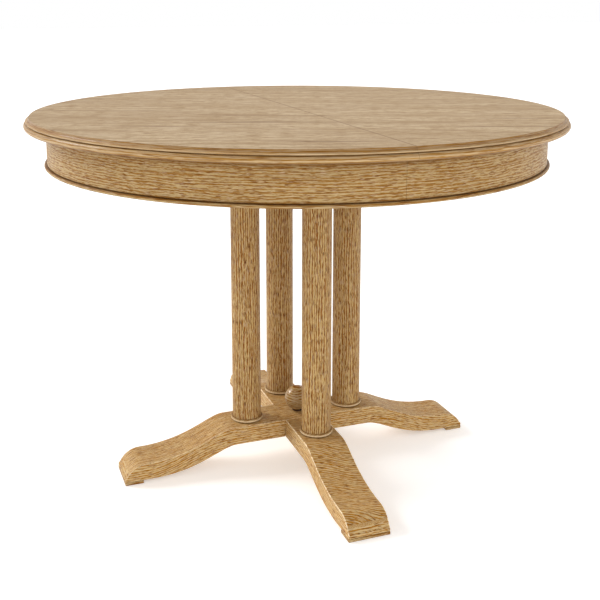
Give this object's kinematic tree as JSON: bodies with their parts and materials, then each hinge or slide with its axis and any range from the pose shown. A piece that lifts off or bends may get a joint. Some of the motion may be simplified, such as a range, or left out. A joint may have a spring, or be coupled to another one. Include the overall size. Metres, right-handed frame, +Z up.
{
  "type": "round pedestal table",
  "caption": "Round extending dining table in oak: a moulded top in two sliding halves over a curved apron, on turned columns and a scrolled cross base with a ball finial.",
  "frame": {"origin": "on the floor under the middle of the round top", "axes": "+Z up; the base beams lie along X and Y; the half tops slide apart along X and meet along Y"},
  "size_m": [1.1044, 1.1044, 0.76],
  "materials": {
    "top_veneer": "pale satin oak veneer, straight grain",
    "edge_oak": "satin solid oak moulding",
    "apron_oak": "satin oak veneer with brown pores",
    "base_oak": "satin solid oak",
    "column_oak": "satin turned oak",
    "collar_wood": "dark stained wood",
    "slide_beech": "plain unfinished beech",
    "steel": "plain zinc-coated steel"
  },
  "bodies": {
    "pedestal": {"foot_pad_1": "base_oak", "foot_pad_2": "base_oak", "foot_pad_3": "base_oak", "foot_pad_4": "base_oak", "base_beam_through": "base_oak", "base_beam_cross": "base_oak", "column_1": "column_oak", "column_2": "column_oak", "column_3": "column_oak", "column_4": "column_oak", "column_ring_1": "column_oak", "column_ring_2": "column_oak", "column_ring_3": "column_oak", "column_ring_4": "column_oak", "column_bolt_1": "steel", "column_bolt_2": "steel", "column_bolt_3": "steel", "column_bolt_4": "steel", "column_screw_1": "steel", "column_screw_2": "steel", "column_screw_3": "steel", "column_screw_4": "steel", "ball_finial": "column_oak", "finial_collar": "collar_wood", "finial_dowel": "slide_beech", "top_bearer_through": "base_oak", "top_bearer_cross": "base_oak", "slide_bed": "slide_beech", "bed_screw_1": "steel", "bed_screw_2": "steel", "bed_screw_3": "steel", "bed_screw_4": "steel", "fixed_rail_front": "slide_beech", "fixed_rail_back": "slide_beech", "pinion_post": "steel"},
    "top_right": {"top_panel_right": "top_veneer", "edge_moulding_right": "edge_oak", "apron_right": "apron_oak", "apron_bead_right": "edge_oak", "slide_rail_right_a": "slide_beech", "slide_rail_right_b": "slide_beech", "rack_right": "steel", "rack_bar_right": "slide_beech", "apron_block_right_a": "slide_beech", "apron_block_right_b": "slide_beech"},
    "top_left": {"top_panel_left": "top_veneer", "edge_moulding_left": "edge_oak", "apron_left": "apron_oak", "apron_bead_left": "edge_oak", "slide_rail_left_a": "slide_beech", "slide_rail_left_b": "slide_beech", "rack_left": "steel", "rack_bar_left": "slide_beech", "apron_block_left_a": "slide_beech", "apron_block_left_b": "slide_beech", "alignment_pin_a": "slide_beech", "alignment_pin_b": "slide_beech"},
    "pinion": {"pinion": "steel"}
  },
  "joints": [
    {"name": "top_right_slide", "type": "slide", "parent": "pedestal", "child": "top_right", "axis": [1, 0, 0], "range_m": [0, 0.225]},
    {"name": "top_left_slide", "type": "slide", "parent": "pedestal", "child": "top_left", "axis": [-1, 0, 0], "range_m": [0, 0.225]},
    {"name": "pinion_spin", "type": "hinge", "parent": "pedestal", "child": "pinion", "pos_m": [0, 0, 0.721], "axis": [0, 0, -1], "range_deg": [0, 430]}
  ],
  "couplings": [
    {"joint": "top_left_slide", "follows": "top_right_slide", "ratio": 1},
    {"joint": "pinion_spin", "follows": "top_right_slide", "rad_per_m": 33.333}
  ]
}
